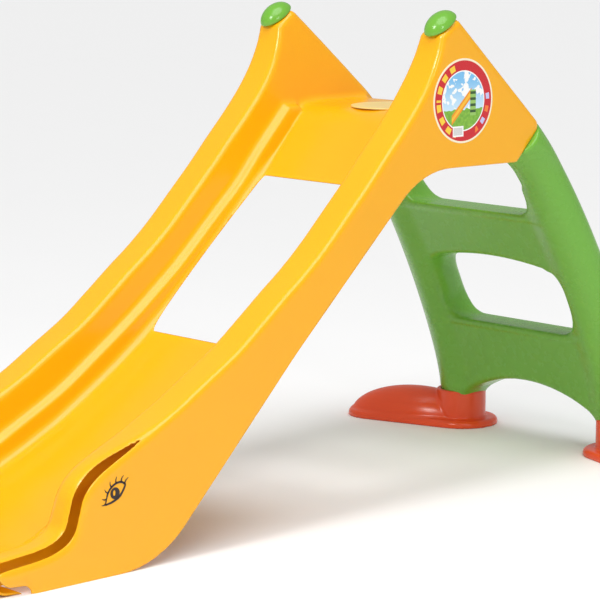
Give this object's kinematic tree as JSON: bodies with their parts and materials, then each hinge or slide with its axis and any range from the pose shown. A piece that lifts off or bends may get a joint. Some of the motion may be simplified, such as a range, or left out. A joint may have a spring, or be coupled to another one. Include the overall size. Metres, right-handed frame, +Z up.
{
  "type": "straight slide",
  "caption": "Child's garden slide: a deep yellow trough with eared side walls and a small deck, carried at the back by a curved green ladder on splayed orange feet.",
  "frame": {"origin": "centre of the footprint, on the ground", "axes": "+X from the exit towards the ladder, +Z up, +Y to the right of a child who slides down"},
  "size_m": [1.5415, 0.868, 0.8449],
  "materials": {
    "yellow_plastic": "glossy moulded polyethylene",
    "green_plastic": "satin to glossy moulded polyethylene",
    "orange_plastic": "glossy moulded polyethylene",
    "pale_plastic": "pale smooth plastic",
    "label_print": "printed film",
    "dark_print": "pad print",
    "screw_steel": "zinc plated"
  },
  "bodies": {
    "root": {"chute": "yellow_plastic", "ladder": "green_plastic", "ear_cap_left": "green_plastic", "ear_cap_right": "green_plastic", "foot_left": "orange_plastic", "foot_right": "orange_plastic", "platform_disc": "pale_plastic", "label": "label_print", "eye_print_left": "dark_print", "eye_print_right": "dark_print", "foot_screws": "screw_steel", "ladder_screws": "screw_steel"}
  },
  "joints": []
}
